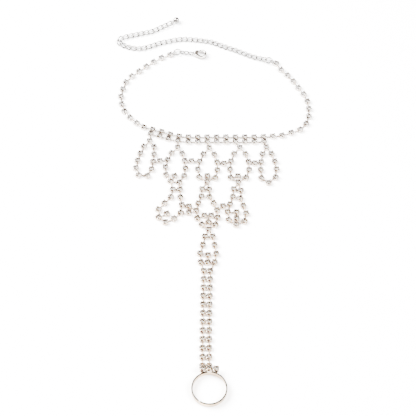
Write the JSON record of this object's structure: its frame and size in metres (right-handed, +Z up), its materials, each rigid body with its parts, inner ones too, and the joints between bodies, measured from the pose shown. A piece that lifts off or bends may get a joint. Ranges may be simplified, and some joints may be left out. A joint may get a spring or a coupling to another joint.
{
  "type": "barefoot sandal anklet with toe ring",
  "caption": "Rhinestone barefoot sandal: a claw-set cup-chain anklet with lobster clasp and extender, a pierced teardrop front, a centre strip and a toe ring.",
  "frame": {"origin": "the toe ring's axis, at the surface on which the jewel lies", "axes": "+Z up, along the toe ring's axis; +Y from the toe ring to the ankle end; +X to the right as seen from above with the toe ring nearest"},
  "size_m": [0.097, 0.2145, 0.0043],
  "materials": {
    "silver": "bright silver-tone plating",
    "crystal": "clear cut glass with a foiled back"
  },
  "bodies": {
    "jewel": {"anklet_left_cups": "silver", "anklet_left_stones": "crystal", "anklet_right_cups": "silver", "anklet_right_stones": "crystal", "front_band_cups": "silver", "front_band_stones": "crystal", "teardrop_1_cups": "silver", "teardrop_1_stones": "crystal", "teardrop_2_cups": "silver", "teardrop_2_stones": "crystal", "teardrop_3_cups": "silver", "teardrop_3_stones": "crystal", "teardrop_4_cups": "silver", "teardrop_4_stones": "crystal", "teardrop_5_cups": "silver", "teardrop_5_stones": "crystal", "bridge_1_cup": "silver", "bridge_1_stone": "crystal", "bridge_2_cup": "silver", "bridge_2_stone": "crystal", "bridge_3_cup": "silver", "bridge_3_stone": "crystal", "bridge_4_cup": "silver", "bridge_4_stone": "crystal", "drop_left_cups": "silver", "drop_left_stones": "crystal", "drop_centre_cups": "silver", "drop_centre_stones": "crystal", "drop_right_cups": "silver", "drop_right_stones": "crystal", "bridge_left_cups": "silver", "bridge_left_stones": "crystal", "bridge_right_cup": "silver", "bridge_right_stone": "crystal", "leaf_cups": "silver", "leaf_stones": "crystal", "strip_cups": "silver", "strip_stones": "crystal", "toe_ring": "silver", "toe_ring_stones": "crystal", "jump_ring": "silver", "clasp_links": "silver", "clasp_body": "silver", "extender_ring": "silver", "extender_chain": "silver", "extender_ball": "silver"},
    "lever": {"clasp_lever": "silver"}
  },
  "joints": [
    {"name": "clasp_lever", "type": "hinge", "parent": "jewel", "child": "lever", "pos_m": [-0.00618, 0.18443, 0.0011], "axis": [0, 0, -1], "range_deg": [0, 35], "stiffness_Nm_per_rad": 0.0001}
  ]
}
